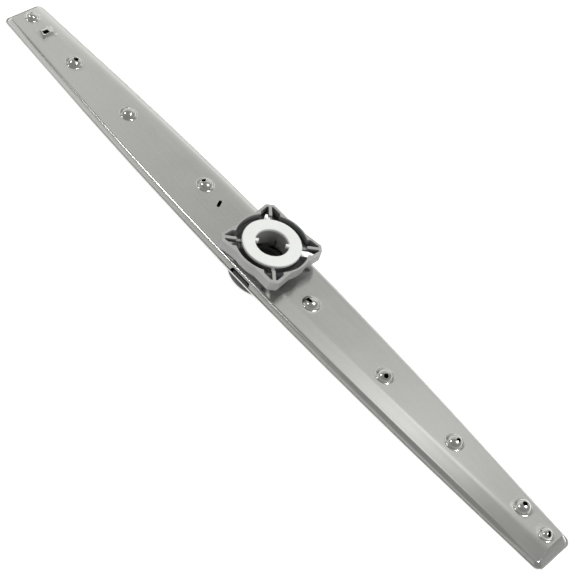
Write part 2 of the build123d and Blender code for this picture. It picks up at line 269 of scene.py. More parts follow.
@dataclass(frozen=True)
class PressedSteel:
    """Satin stainless sheet: rolled grain along the arm, faint clouds, a little rougher where it was drawn."""

    name: str = "pressed_steel"
    light: Point3 = (0.65, 0.655, 0.63)
    dull: Point3 = (0.58, 0.585, 0.56)
    roughness: float = 0.17
    cloud_scale: float = 34.0
    grain_scale: float = 900.0
    speck_scale: float = 1400.0
    ripple_scale: float = 40.0
    grain_stretch: Point3 = (0.05, 1.0, 1.0)
    ripple_stretch: Point3 = (0.6, 1.0, 1.0)
    tone_shares: Point3 = (0.30, 0.25, 0.45)
    tone_band: Point = (0.25, 0.75)
    rough_shares: Point3 = (0.06, 0.03, 0.03)
    ripple_bump: Point = (0.05, 0.6 * MM)
    grain_bump: Point = (0.03, 0.05 * MM)
    grain_share: float = 0.6
    worked: str = "worked"

    def material(self) -> bpy.types.Material:
        """Build the finish.

        Returns:
            The material.
        """
        paint = Paint(self.name, {"Metallic": 1.0})
        grain = paint.noise(paint.scaled(paint.place, self.grain_stretch), self.grain_scale, 3.0, 0.6)
        cloud = paint.noise(paint.place, self.cloud_scale, 3.0)
        specks = paint.noise(paint.place, self.speck_scale, 2.0, 0.7)
        drawn = paint.add("ShaderNodeAttribute", {"attribute_name": self.worked}, None, "Fac")
        by_cloud, by_grain, by_specks = self.tone_shares
        tone = cloud * by_cloud + grain * by_grain + specks * by_specks
        colour = paint.mix(tone.ramp(*self.tone_band), self.dull, self.light)
        by_cloud, by_grain, by_drawing = self.rough_shares
        rough = self.roughness + (cloud - 0.5) * by_cloud + (grain - 0.5) * by_grain + drawn * by_drawing
        ripple = paint.noise(paint.scaled(paint.place, self.ripple_stretch), self.ripple_scale, 1.0)
        normal = paint.bump(ripple, *self.ripple_bump)
        fine = grain * self.grain_share + specks * (1 - self.grain_share)
        normal = paint.bump(fine, *self.grain_bump, normal)
        return paint.feed(Base_Color=colour, Roughness=rough, Normal=normal)


@dataclass(frozen=True)
class MouldedPlastic:
    """Grey glass-filled moulding with a fine spark texture, a painted highlight on its top, painted shade near the
    floor and painted shade in its grooves and pockets.
    """

    name: str = "moulded_plastic"
    light: Point3 = (0.32, 0.325, 0.32)
    dark: Point3 = (0.235, 0.24, 0.237)
    # Painted highlight: a lighter grey for the collar's top faces, where the light catches the rim.
    rim: Point3 = (0.41, 0.415, 0.40)
    # Painted shade: a darker grey near the floor, for the shade under the arm.
    foot: Point3 = (0.135, 0.137, 0.135)
    # Painted shade: near black where the moulding's own walls hide it from the light.
    recess_shade_colour: Point3 = (0.022, 0.022, 0.024)
    roughness: float = 0.42
    # Heights over which the painted highlight on the top fades in.
    rim_highlight_band: Point = (27.6 * MM, 29.2 * MM)
    # Heights over which the painted shade near the floor fades out.
    foot_shade_band: Point = (3.0 * MM, 6.0 * MM)
    spark_scale: float = 5200.0
    flow_scale: float = 120.0
    flow_stretch: Point3 = (1.0, 1.0, 2.5)
    flow_share: float = 0.7
    rough_shares: Point = (0.16, 0.10)
    spark_bump: Point = (0.25, 0.08 * MM)
    # Attribute holding the share of painted shade in the grooves and pockets.
    recess_shade: str = "recess_shade"

    def material(self) -> bpy.types.Material:
        """Build the finish.

        Returns:
            The material.
        """
        paint = Paint(self.name, {"Specular IOR Level": 0.5})
        spark = paint.noise(paint.place, self.spark_scale, 2.0, 0.6)
        flow = paint.noise(paint.scaled(paint.place, self.flow_stretch), self.flow_scale, 3.0)
        _, _, z = paint.xyz(paint.place)
        # Share of painted shade, from how far the moulding's own walls hem each place in.
        shade_share = paint.add("ShaderNodeAttribute", {"attribute_name": self.recess_shade}, None, "Fac")
        tone = flow * self.flow_share + spark * (1 - self.flow_share)
        colour = paint.mix(tone, self.dark, self.light)
        # Painted highlight on the top faces.
        colour = paint.mix(z.ramp(*self.rim_highlight_band), colour, self.rim)
        # Painted shade, darker towards the bottom, under the arm.
        colour = paint.mix(1.0 - z.ramp(*self.foot_shade_band), colour, self.foot)
        # Painted shade in the grooves and pockets.
        colour = paint.mix(shade_share, colour, self.recess_shade_colour)
        by_spark, by_flow = self.rough_shares
        rough = self.roughness + (spark - 0.5) * by_spark + (flow - 0.5) * by_flow
        return paint.feed(Base_Color=colour, Roughness=rough, Normal=paint.bump(spark, *self.spark_bump))


@dataclass(frozen=True)
class RingPlastic:
    """White bearing plastic with faint turning marks about the hub's axis."""

    name: str = "ring_plastic"
    light: Point3 = (0.94, 0.94, 0.905)
    dull: Point3 = (0.88, 0.88, 0.84)
    roughness: float = 0.38
    pitch: float = 0.35 * MM
    cloud_scale: float = 160.0
    cloud_share: float = 0.8
    rough_share: float = 0.12
    mark_bump: Point = (0.10, 0.04 * MM)

    def material(self) -> bpy.types.Material:
        """Build the finish.

        Returns:
            The material.
        """
        paint = Paint(self.name, {"Specular IOR Level": 0.45, "Subsurface Weight": 0.05})
        x, y, _ = paint.xyz(paint.place)
        radius = (x * x + y * y).sqrt()
        marks = (radius * (TURN / self.pitch)).sin() * 0.5 + 0.5
        cloud = paint.noise(paint.place, self.cloud_scale, 3.0)
        tone = cloud * self.cloud_share + marks * (1 - self.cloud_share)
        colour = paint.mix(tone, self.dull, self.light)
        rough = self.roughness + (cloud - 0.5) * self.rough_share
        return paint.feed(Base_Color=colour, Roughness=rough, Normal=paint.bump(marks, *self.mark_bump))


@dataclass(frozen=True)
class FloorPaper:
    """Plain pale studio paper."""

    name: str = "floor_paper"
    light: Point3 = (0.90, 0.90, 0.895)
    dull: Point3 = (0.88, 0.88, 0.875)
    lift: float = 0.62
    fibre_scale: float = 300.0

    def material(self) -> bpy.types.Material:
        """Build the finish.

        Returns:
            The material.
        """
        fixed = {"Roughness": 0.9, "Specular IOR Level": 0.1, "Emission Color": (1.0, 1.0, 1.0, 1.0)}
        paint = Paint(self.name, {**fixed, "Emission Strength": self.lift})
        fibre = paint.noise(paint.place, self.fibre_scale, 4.0)
        return paint.feed(Base_Color=paint.mix(fibre, self.dull, self.light))


@dataclass(frozen=True)
class Nozzle:
    """A domed nozzle in millimetres and degrees: its place, its dome, and its jet hole."""

    x: float
    y: float
    base: float
    height: float
    lean: float
    heading: float
    hole: float
    slot: float = 0.0
    slot_turn: float = 0.0


@dataclass
class SheetForm:
    """The upper pressing's outline and levels, in millimetres."""

    reach_plus: float = 269.5
    reach_minus: float = 271.2
    end_slant: float = 0.045
    half_at_hub: float = 26.7
    half_at_tip: float = 16.8
    tip_taper: float = 0.064
    corner: float = 5.0
    top: float = 14.0
    seam: float = 9.8
    rim_inset: float = 0.75
    top_inset: float = 3.3
    end_insets: Point = (6.0, 4.2)
    end_ease: float = 28.0
    top_corner: float = 2.0
    fold: float = 2.4
    bevel_fold: float = 3.6
    tip_fold: float = 0.9
    tip_ease: float = 32.0
    crease_places: Point3 = (20.0, 160.0, 273.2)
    creases: Point3 = (11.0, 6.9, 0.5)
    slopes: Point3 = (0.026, 0.062, 0.115)
    bevel_start: Point = (12.0, 30.0)
    crease_round: Point = (0.7, 4.0)
    roll_width: float = 6.0
    roll_drop: float = 0.08
    strip_slope: float = 0.14
    bevel_hollow: float = 0.014

    def half(self, x: float) -> float:
        """Half the arm's width at a place along it."""
        reach = self.reach_plus if x > 0 else self.reach_minus
        share = abs(x) / reach
        cubic = -self.tip_taper * reach - 2 * (self.half_at_tip - self.half_at_hub)
        square = self.half_at_tip - self.half_at_hub - cubic
        return self.half_at_hub + square * share**2 + cubic * share**3

    def _between(self, values: Point3, x: float) -> float:
        """A value along the bevel, on the parabola through its three stations."""
        a, b, c = self.crease_places
        first = values[0] * (x - b) * (x - c) / ((a - b) * (a - c))
        second = values[1] * (x - a) * (x - c) / ((b - a) * (b - c))
        third = values[2] * (x - a) * (x - b) / ((c - a) * (c - b))
        return first + second + third

    def crease(self, x: float) -> float:
        """How far the bevel's crease runs from the middle line."""
        return self._between(self.creases, x)

    def crease_width(self, x: float) -> float:
        """Half the width over which the crease is rounded."""
        share = min(max(x / self.crease_places[2], 0.0), 1.0)
        return self.crease_round[0] + (self.crease_round[1] - self.crease_round[0]) * share**3

    def drop(self, x: float, y: float) -> float:
        """How far the pressed face lies below the flat top.

        Args:
            x: place along the arm.
            y: place across the arm.

        Returns:
            The depth in millimetres.
        """
        turned = x < 0
        if turned:
            x, y = -x, -y
        low, high = self.bevel_start
        share = min(max((x - low) / (high - low), 0.0), 1.0)
        blend = share * share * (3 - 2 * share)
        if not blend:
            return 0.0
        past = -y - self.crease(x)
        width = self.crease_width(x)
        if past <= -width:
            return 0.0
        ramp = past if past >= width else (past + width) ** 2 / (4 * width)
        slope = self._between(self.slopes, x)
        depth = slope * ramp
        if not turned:
            wide = self.half(x) - self.top_inset - self.crease(x)
            depth += self.bevel_hollow * ramp * max(1 - ramp / wide, 0.0)
        near_edge = self.roll_width - (self.half(x) - self.top_inset + y)
        if near_edge > 0:
            roll = (self.strip_slope - slope) * self.roll_width if turned else self.roll_drop
            depth += roll * (near_edge / self.roll_width) ** 2
        return blend * depth

    def way_in(self, spot: Vector, inward: Vector) -> Vector:
        """The way from the seam up the wall to the top edge, in plan.

        The ends slope more than the sides, so near a corner the way leans along the arm.

        Args:
            spot: a station on the seam's outline.
            inward: its inward normal.

        Returns:
            The step from the seam to the top edge.
        """
        reach, inset = (self.reach_plus, self.end_insets[0]) if spot.x > 0 else (self.reach_minus, self.end_insets[1])
        lean = math.copysign(inset + self.top_corner - self.corner, -spot.x)
        away = reach - self.corner - abs(spot.x) - self.end_slant * self.half_at_tip
        share = min(max(1 - away / self.end_ease, 0.0), 1.0)
        if share < 1:
            return inward * self.top_inset + Vector((lean * share * share * (3 - 2 * share), 0.0))
        across = spot.y / self.half_at_tip * (self.corner - self.top_corner - self.top_inset)
        return inward * (self.corner - self.top_corner) + Vector((lean, across))

    def fold_at(self, x: float, cut: float) -> float:
        """The fold's radius, easing down to the tips.

        Args:
            x: place along the arm.
            cut: how far the bevel has set in, from none to one.

        Returns:
            The radius in millimetres.
        """
        away = (self.reach_plus if x > 0 else self.reach_minus) - abs(x) - self.corner
        share = min(max(away / self.tip_ease, 0.0), 1.0)
        full = self.fold + (self.bevel_fold - self.fold) * cut
        return self.tip_fold + (full - self.tip_fold) * share * share * (3 - 2 * share)

    def level(self, x: float, y: float) -> float:
        """Height of the pressed face."""
        return self.top - self.drop(x, y)


@dataclass
class PressedTop:
    """The upper pressing: walls, folds, twisted bevels, domed nozzles, a louvre and a slot."""

    form: SheetForm = field(default_factory=SheetForm)
    sheet: float = 0.7
    side_steps: int = 230
    end_steps: int = 16
    corner_steps: int = 9
    fold_steps: int = 6
    seek_steps: int = 4
    tilt_step: float = 0.5
    full_cut: float = 0.8
    margins: Point = (0.4, 1.1)
    grid_x: float = 3.0
    grid_y: float = 2.4
    grid_inset: float = 2.5
    crease_pitch: float = 1.5
    crease_end: float = 6.0
    crease_rows: tuple[float, ...] = (-1.0, -0.5, 0.0, 0.5, 1.0)
    spare_gap: float = 0.6
    fill_gap: float = 1e-5
    seam_weld: float = 0.004
    smooth_angle: float = 32.0
    hub_hole: float = 16.01
    hub_turns: int = 72
    dome_root: float = 1.5
    dome_rings: int = 16
    dome_turns: int = 48
    slot_place: Point = (-52.7, 3.2)
    slot_size: Point = (6.6, 2.3)
    slot_turn: float = -61.5
    slot_turns: int = 24
    louvre_place: Point = (-242.0, -0.6)
    louvre_size: Point = (8.5, 11.0)
    louvre_hole: Point = (3.2, 4.8)
    louvre_shift: Point = (0.8, -1.2)
    louvre_height: float = 2.6
    louvre_draft: float = 1.5
    louvre_turns: int = 48
    louvre_root: tuple[Point3, ...] = ((0.7, 1.8, 0.0), (0.25, 1.5, 0.06), (-0.1, 1.3, 0.32))
    louvre_cap: tuple[Point3, ...] = ((0.45, 1.0, 0.78), (0.2, 0.8, 0.94), (-0.05, 0.7, 1.0))
    louvre_lip: tuple[Point3, ...] = ((0.15, 0.3, 1.0), (0.0, 0.25, 1.0))
    relief_size: Point3 = (18.0, 8.4, 1.6)
    relief_place: Point = (2.0, 8.2)
    relief_turns: int = 32
    relief_spare: float = 2.0
    worked_rise: float = 0.6
    worked_reach: float = 1.2
    nozzles: tuple[Nozzle, ...] = (
        Nozzle(-260.2, 0.2, 5.8, 3.8, 20, 187, 0.75, 3.6, 83),
        Nozzle(-208.3, -1.2, 6.9, 4.2, 9, 45, 1.8),
        Nozzle(-149.6, 1.4, 6.9, 4.2, 32, 162, 1.4),
        Nozzle(-70.8, 6.0, 6.9, 4.2, 20, 206, 1.6),
        Nozzle(45.2, -0.5, 6.9, 4.2, 26, 221, 1.1, 5.8, -41),
        Nozzle(114.2, 1.2, 6.9, 4.2, 26, 318, 1.6),
        Nozzle(176.0, 4.0, 6.9, 4.2, 15, 21, 1.4),
        Nozzle(234.2, 6.5, 6.8, 4.2, 2, 90, 1.7),
        Nozzle(256.0, 4.4, 5.6, 3.8, 20, 354, 1.0, 4.4, -39),
    )

    def stations(self) -> list[tuple[Vector, Vector]]:
        """Walk round the seam's outline.

        Returns:
            Points with their inward normals, anticlockwise from above.
        """
        form = self.form
        corners = []
        for sx, sy in ((-1, -1), (1, -1), (1, 1), (-1, 1)):
            reach = form.reach_plus if sx > 0 else -form.reach_minus
            corner = Vector((reach - form.end_slant * sy * form.half_at_tip, sy * form.half_at_tip))
            side = Vector((-sx, sy * form.tip_taper)).normalized()
            end = Vector((form.end_slant * sy, -sy)).normalized()
            angle = side.angle(end)
            tangent = form.corner / math.tan(angle / 2)
            centre = corner + (side + end).normalized() * (form.corner / math.sin(angle / 2))
            on_side, on_end = corner + side * tangent, corner + end * tangent
            first, last = (on_side, on_end) if sx * sy < 0 else (on_end, on_side)
            corners.append((first, last, centre))
        walk: list[tuple[Vector, Vector]] = []
        for k, (first, last, centre) in enumerate(corners):
            walk += self._arc(first, last, centre)
            start, stop = last, corners[(k + 1) % 4][0]
            walk += self._run(start, stop, curved=k % 2 == 0)
        return walk

    def _arc(self, first: Vector, last: Vector, centre: Vector) -> list[tuple[Vector, Vector]]:
        """The stations of one corner, both ends among them."""
        low = math.atan2(*(first - centre).yx)
        high = math.atan2(*(last - centre).yx)
        high += TURN if high < low else 0.0
        found = []
        for k in range(self.corner_steps + 1):
            angle = low + (high - low) * k / self.corner_steps
            out = Vector((math.cos(angle), math.sin(angle)))
            found.append((centre + out * self.form.corner, -out))
        return found

    def _run(self, start: Vector, stop: Vector, curved: bool) -> list[tuple[Vector, Vector]]:
        """The stations between two corners, neither end among them."""
        steps = self.side_steps if curved else self.end_steps
        places = []
        for k in range(steps + 1):
            spot = start.lerp(stop, k / steps)
            if curved:
                spot.y = math.copysign(self.form.half(spot.x), spot.y)
            places.append(spot)
        found = []
        for before, spot, after in zip(places, places[1:], places[2:]):
            along = (after - before).normalized()
            found.append((spot, Vector((-along.y, along.x))))
        return found

    def profile(self, spot: Vector, square: Vector, inward: Vector) -> list[Point]:
        """The wall and fold at one station.

        Args:
            spot: the station on the seam's outline.
            square: its inward normal.
            inward: the way that the rows follow.

        Returns:
            Inset and height of each row, from the rim to the flat.
        """
        form = self.form

        def face(inset: float) -> float:
            """Height of the pressed face at an inset."""
            here = spot + inward * inset
            return form.level(here.x, here.y)

        inset = form.way_in(spot, square).length
        rim = form.rim_inset / inward.dot(square)
        steep = (form.top - form.seam) / (inset - rim)
        for _ in range(self.seek_steps):
            inset = rim + (face(inset) - form.seam) / steep
        wall = math.atan(steep)
        tilt = math.atan((face(inset + self.tilt_step) - face(inset)) / self.tilt_step)
        cut = min(form.drop(*(spot + inward * inset)) / self.full_cut, 1.0)
        radius = form.fold_at(spot.x, cut)
        length = radius * math.tan((wall - tilt) / 2)
        edge = Vector((inset, face(inset)))
        start = edge - Vector((math.cos(wall), math.sin(wall))) * length
        centre = start + Vector((math.sin(wall), -math.cos(wall))) * radius
        rows: list[Point] = [(rim, form.seam)]
        rows.append(((rim + start.x) / 2, (form.seam + start.y) / 2))
        for k in range(self.fold_steps + 1):
            angle = wall + (tilt - wall) * k / self.fold_steps
            rows.append((centre.x - radius * math.sin(angle), centre.y + radius * math.cos(angle)))
        last = rows[-1][0]
        rows += [(last + margin, face(last + margin)) for margin in self.margins]
        return rows

    def loop_of(self, place: Point, radius: float, count: int) -> list[Point]:
        """A circle of points about a place."""
        angles = [TURN * k / count for k in range(count)]
        return [(place[0] + radius * math.cos(a), place[1] + radius * math.sin(a)) for a in angles]

    def slot_loop(self) -> list[Point]:
        """The plain slot's outline."""
        length, width = self.slot_size
        turn = Matrix.Rotation(math.radians(self.slot_turn), 2)
        points = []
        for spot in rounded_loop(length / 2, width / 2, width / 2, self.slot_turns):
            local = turn @ Vector(spot)
            points.append((self.slot_place[0] + local.x, self.slot_place[1] + local.y))
        return points

    def louvre_loops(self) -> list[list[Point3]]:
        """The louvre's rows, from its root on the flat to its hole.

        Returns:
            Closed loops of points, each row set by its margin, corner radius and share of the height.
        """
        length, width = self.louvre_size
        run = self.louvre_draft
        still = (0.0, 0.0)
        steps = (
            (length / 2, width / 2, self.louvre_root, still),
            (length / 2 - run, width / 2 - run, self.louvre_cap, still),
            (self.louvre_hole[0] / 2, self.louvre_hole[1] / 2, self.louvre_lip, self.louvre_shift),
        )
        loops = []
        for half_x, half_y, rows, shift in steps:
            for margin, corner, share in rows:
                loop = []
                for across, up in rounded_loop(half_x + margin, half_y + margin, corner, self.louvre_turns, 0.0):
                    x = self.louvre_place[0] + shift[0] + across
                    y = self.louvre_place[1] + shift[1] + up
                    loop.append((x, y, self.form.level(x, y) + share * self.louvre_height))
                loops.append(loop)
        return loops

    def inner_points(self) -> list[Point]:
        """Spare points on the flat and rows along both creases."""
        form = self.form
        points: list[Point] = []
        x = -form.reach_minus + self.grid_x
        while x < form.reach_plus:
            half = form.half(x) - form.top_inset - self.grid_inset
            rows = max(int(2 * half / self.grid_y), 2)
            points += [(x, -half + 2 * half * k / rows) for k in range(rows + 1)]
            x += self.grid_x
        x = form.bevel_start[0]
        while x < form.reach_plus - self.crease_end:
            width = form.crease_width(x)
            for share in self.crease_rows:
                y = -form.crease(x) + share * width
                points += [(x, y), (-x, -y)]
            x += self.crease_pitch
        return points

    def flat(self, rim: list[Point]) -> tuple[list[Point], list[tuple[int, int, int]]]:
        """Fill the flat with triangles, leaving out what is pressed or cut.

        Args:
            rim: the innermost row of the fold.

        Returns:
            Points and triangles.
        """
        holes = [self.loop_of((0.0, 0.0), self.hub_hole, self.hub_turns), self.slot_loop()]
        holes += [self.loop_of((n.x, n.y), n.base, self.dome_turns) for n in self.nozzles]
        holes.append([(x, y) for x, y, _ in self.louvre_loops()[0]])
        loops = [rim] + holes
        edge_points = np.array([p for loop in loops for p in loop])
        edges: list[tuple[int, int]] = []
        for loop in loops:
            start = edges[-1][0] + 1 if edges else 0
            edges += [(start + k, start + (k + 1) % len(loop)) for k in range(len(loop))]
        spare = np.array(self.inner_points())
        keep = inside(spare, rim)
        for hole in holes:
            keep &= ~inside(spare, hole)
        near = np.array([np.min(np.sum((edge_points - p) ** 2, axis=1)) for p in spare])
        spare = spare[keep & (near > self.spare_gap**2)]
        points = [Vector(p) for p in np.vstack([edge_points, spare]).tolist()]
        found, _, faces, *_ = delaunay_2d_cdt(points, edges, [], 0, self.fill_gap)
        flat = np.array([tuple(p) for p in found])
        triangles = np.array([tuple(f) for f in faces])
        middles = flat[triangles].mean(axis=1)
        keep = inside(middles, rim)
        for hole in holes:
            keep &= ~inside(middles, hole)
        return [tuple(p) for p in flat.tolist()], [tuple(t) for t in triangles[keep].tolist()]

    def dome_rule(self) -> bpy.types.NodeTree:
        """Node tree that wraps a grid between each nozzle's foot and its jet hole.

        Returns:
            The tree, with its ring and turn counts, root radius and finish as inputs.
        """
        tree = bpy.data.node_groups.new("nozzle_domes", "GeometryNodeTree")
        tree.interface.new_socket("Nozzles", in_out="INPUT", socket_type="NodeSocketGeometry")
        for name, kind in (("Rings", "Int"), ("Turns", "Int"), ("Root radius", "Float"), ("Finish", "Material")):
            tree.interface.new_socket(name, in_out="INPUT", socket_type="NodeSocket" + kind)
        tree.interface.new_socket("Domes", in_out="OUTPUT", socket_type="NodeSocketGeometry")
        rule = NodeSheet(tree)
        given = rule.node("NodeGroupInput")
        sizes = {s.name: Val(rule, s) for s in given.outputs if s.name}
        counts = {"Size X": 1.0, "Size Y": 1.0, "Vertices X": sizes["Rings"], "Vertices Y": sizes["Turns"] + 1.0}
        grid = rule.node("GeometryNodeMeshGrid", None, counts)
        strip = rule.add(
            "GeometryNodeStoreNamedAttribute",
            {"data_type": "FLOAT_VECTOR", "domain": "POINT"},
            {"Geometry": Val(rule, grid.outputs[0]), "Name": "wrap", "Value": Val(rule, grid.outputs[1])},
        )
        spread = rule.add("GeometryNodeInstanceOnPoints", None, {"Points": sizes["Nozzles"], "Instance": strip})
        real = rule.add("GeometryNodeRealizeInstances", None, {0: spread})
        place = self._wrap(rule, sizes["Root radius"])
        domes = rule.add("GeometryNodeSetPosition", None, {"Geometry": real, "Position": place})
        domes = rule.add("GeometryNodeMergeByDistance", None, {"Geometry": domes, "Distance": WELD})
        domes = rule.add("GeometryNodeSetMaterial", None, {"Geometry": domes, "Material": sizes["Finish"]})
        rule.node("NodeGroupOutput", None, {0: domes})
        return tree

    @staticmethod
    def _wrap(rule: NodeSheet, root: Val) -> Val:
        """Where each grid point goes on its dome.

        Args:
            rule: the tree.
            root: the radius at the dome's root.

        Returns:
            The position field.
        """

        def read(name: str, kind: str = "FLOAT") -> Val:
            """A nozzle's own number."""
            return rule.add("GeometryNodeInputNamedAttribute", {"data_type": kind}, {"Name": name})

        share, turn, _ = rule.xyz(read("wrap", "FLOAT_VECTOR"))
        base, height = read("base"), read("height")
        lean, heading = read("lean"), read("heading")
        hole, straight, slot_turn = read("hole"), read("straight"), read("slot_turn")
        ball = (base * base + height * height - height * root * 2.0) / (height * 2.0)
        angle = turn * TURN
        a = hole * angle.cos() + straight * (angle.cos() + NUDGE).sign()
        b = hole * angle.sin()
        across = a * slot_turn.cos() - b * slot_turn.sin()
        side = a * slot_turn.sin() + b * slot_turn.cos()
        along = (ball * ball - a * a - b * b).sqrt()
        out = across * lean.cos() + along * lean.sin()
        hole_x = out * heading.cos() - side * heading.sin()
        hole_y = out * heading.sin() + side * heading.cos()
        foot = angle + heading + slot_turn
        foot_x, foot_y = base * foot.cos(), base * foot.sin()
        x = hole_x + (foot_x - hole_x) * share
        y = hole_y + (foot_y - hole_y) * share
        radius = (x * x + y * y).sqrt()
        centre = height - ball
        hip = base * ball / (ball + root)
        cap = centre + (ball * ball - radius * radius).sqrt()
        reach = base - radius
        rise = root - (root * root - reach * reach).sqrt()
        on_cap = radius < hip
        z = on_cap * cap + (1.0 - on_cap) * rise
        seat_x, seat_y, seat_z = rule.xyz(read("seat", "FLOAT_VECTOR"))
        return rule.vector(seat_x + x, seat_y + y, seat_z + z)

    def domes(self, finish: bpy.types.Material) -> bpy.types.Mesh:
        """Press the nozzles.

        Args:
            finish: the sheet's material.

        Returns:
            A plain mesh of all the domes, feet on the flat's level.
        """
        mesh = bpy.data.meshes.new("nozzle_seats")
        mesh.from_pydata([(n.x * MM, n.y * MM, self.form.top * MM) for n in self.nozzles], [], [])
        numbers = {
            "base": [n.base * MM for n in self.nozzles],
            "height": [n.height * MM for n in self.nozzles],
            "lean": [math.radians(n.lean) for n in self.nozzles],
            "heading": [math.radians(n.heading) for n in self.nozzles],
            "hole": [n.hole * MM for n in self.nozzles],
            "straight": [max(n.slot / 2 - n.hole, 0.0) * MM for n in self.nozzles],
            "slot_turn": [math.radians(n.slot_turn) for n in self.nozzles],
        }
        for name, values in numbers.items():
            mesh.attributes.new(name, "FLOAT", "POINT").data.foreach_set("value", values)
        seats = [c for n in self.nozzles for c in (n.x * MM, n.y * MM, self.form.top * MM)]
        mesh.attributes.new("seat", "FLOAT_VECTOR", "POINT").data.foreach_set("vector", seats)
        holder = bpy.data.objects.new("nozzle_seats", mesh)
        bpy.context.scene.collection.objects.link(holder)
        tree = self.dome_rule()
        modifier = holder.modifiers.new("nozzle_domes", "NODES")
        modifier.node_group = tree
        values = {"Rings": self.dome_rings, "Turns": self.dome_turns, "Finish": finish}
        values["Root radius"] = self.dome_root * MM
        for item in tree.interface.items_tree:
            if item.in_out == "INPUT" and item.name in values:
                modifier[item.identifier] = values[item.name]
        baked = bake(holder)
        bpy.data.objects.remove(holder)
        return baked

    def build(self, finish: bpy.types.Material) -> bpy.types.Object:
        """Make the whole pressing as one sheet.

        Args:
            finish: the sheet's material.

        Returns:
            The piece.
        """
        walk = self.stations()
        ways = [self.form.way_in(spot, square).normalized() for spot, square in walk]
        rows = [self.profile(spot, square, way) for (spot, square), way in zip(walk, ways)]
        shape = bmesh.new()
        rings = []
        for k in range(len(rows[0])):
            ring = []
            for (spot, _), way, row in zip(walk, ways, rows):
                here = spot + way * row[k][0]
                ring.append(shape.verts.new((here.x * MM, here.y * MM, row[k][1] * MM)))
            rings.append(ring)
        bridge(shape, rings)
        points, triangles = self.flat([(v.co.x / MM, v.co.y / MM) for v in rings[-1]])
        verts = [shape.verts.new((x * MM, y * MM, self.form.level(x, y) * MM)) for x, y in points]
        for triangle in triangles:
            shape.faces.new([verts[k] for k in triangle])
        bridge(shape, [[shape.verts.new(Vector(p) * MM) for p in loop] for loop in self.louvre_loops()])
        shape.verts.ensure_lookup_table()
        first_dome = len(shape.verts)
        shape.from_mesh(self.domes(finish))
        shape.verts.ensure_lookup_table()
        for vert in shape.verts[first_dome:]:
            vert.co.z -= self.form.drop(vert.co.x / MM, vert.co.y / MM) * MM
        bmesh.ops.remove_doubles(shape, verts=shape.verts, dist=self.seam_weld * MM)
        loose = [v for v in shape.verts if not v.link_faces]
        bmesh.ops.delete(shape, geom=loose, context="VERTS")
        bmesh.ops.recalc_face_normals(shape, faces=shape.faces)
        if sum(f.normal.z * f.calc_area() for f in shape.faces) < 0:
            bmesh.ops.reverse_faces(shape, faces=shape.faces)
        piece = piece_from(shape, "pressed_top", finish)
        thicken = piece.modifiers.new("sheet", "SOLIDIFY")
        thicken.thickness = self.sheet * MM
        thicken.offset = -1.0
        thicken.use_even_offset = True
        piece.data = bake(piece)
        self.cut_reliefs(piece)
        self.mark_worked(piece.data)
        return piece

    def cut_reliefs(self, piece: bpy.types.Object) -> None:
        """Cut the notch beside the hub out of both walls."""
        length, height, corner = self.relief_size
        outside = self.form.half_at_hub + self.relief_spare
        within = self.form.half_at_hub - self.form.top_inset - self.relief_spare
        shape = bmesh.new()
        for side in (1, -1):
            loop = rounded_loop(length / 2, height / 2, corner, self.relief_turns)
            places = [(side * (self.relief_place[0] + x), self.relief_place[1] + z) for x, z in loop]
            for y in (-outside, -within):
                shape.faces.new([shape.verts.new((x * MM, side * y * MM, z * MM)) for x, z in places])
        faces = list(shape.faces)
        for outer, inner in zip(faces[::2], faces[1::2]):
            bridge(shape, [list(outer.verts), list(inner.verts)])
        bmesh.ops.recalc_face_normals(shape, faces=shape.faces)
        cutter = piece_from(shape, "relief_cutter", None)
        cut = piece.modifiers.new("relief", "BOOLEAN")
        cut.operation = "DIFFERENCE"
        cut.solver = "EXACT"
        cut.object = cutter
        piece.data = bake(piece)
        bpy.data.objects.remove(cutter)

    def mark_worked(self, mesh: bpy.types.Mesh) -> None:
        """Note where the sheet was drawn over a tool: folds, domes and the louvre."""
        marks = np.zeros(len(mesh.vertices))
        for vert in mesh.vertices:
            x, y, z = (c / MM for c in vert.co)
            above = z - self.form.level(x, y)
            fold = self.form.half(x) - abs(y) - self.form.top_inset
            near_fold = min(max(1 - fold / self.worked_reach, 0.0), 1.0)
            marks[vert.index] = max(min(above / self.worked_rise, 1.0), near_fold)
        mesh.attributes.new("worked", "FLOAT", "POINT").data.foreach_set("value", marks)


def rounded_loop(half_x: float, half_y: float, corner: float, count: int, phase: float = 0.5) -> list[Point]:
    """A rectangle with rounded corners about the origin.

    Args:
        half_x: half its length.
        half_y: half its width.
        corner: the corners' radius.
        count: how many points it has.
        phase: where the first point starts, as a share of a step.

    Returns:
        The points, anticlockwise.
    """
    points = []
    for k in range(count):
        angle = TURN * (k + phase) / count
        x = math.copysign(half_x - corner, math.cos(angle)) + corner * math.cos(angle)
        y = math.copysign(half_y - corner, math.sin(angle)) + corner * math.sin(angle)
        points.append((x, y))
    return points


def inside(points: np.ndarray, loop: Sequence[Point]) -> np.ndarray:
    """Which points lie inside a closed loop.

    Args:
        points: an array of places.
        loop: the loop's corners in order.

    Returns:
        One flag for each point.
    """
    found = np.zeros(len(points), bool)
    x, y = points[:, 0], points[:, 1]
    for (x0, y0), (x1, y1) in zip(loop, list(loop[1:]) + [loop[0]]):
        crossing = (y0 > y) != (y1 > y)
        if y0 != y1:
            found ^= crossing & (x < x0 + (y - y0) * (x1 - x0) / (y1 - y0))
    return found


def bridge(shape: bmesh.types.BMesh, rings: Sequence[Sequence[bmesh.types.BMVert]]) -> None:
    """Join closed rings of equal count with quads."""
    for low, high in zip(rings, rings[1:]):
        for k in range(len(low)):
            after = (k + 1) % len(low)
            shape.faces.new((low[k], low[after], high[after], high[k]))


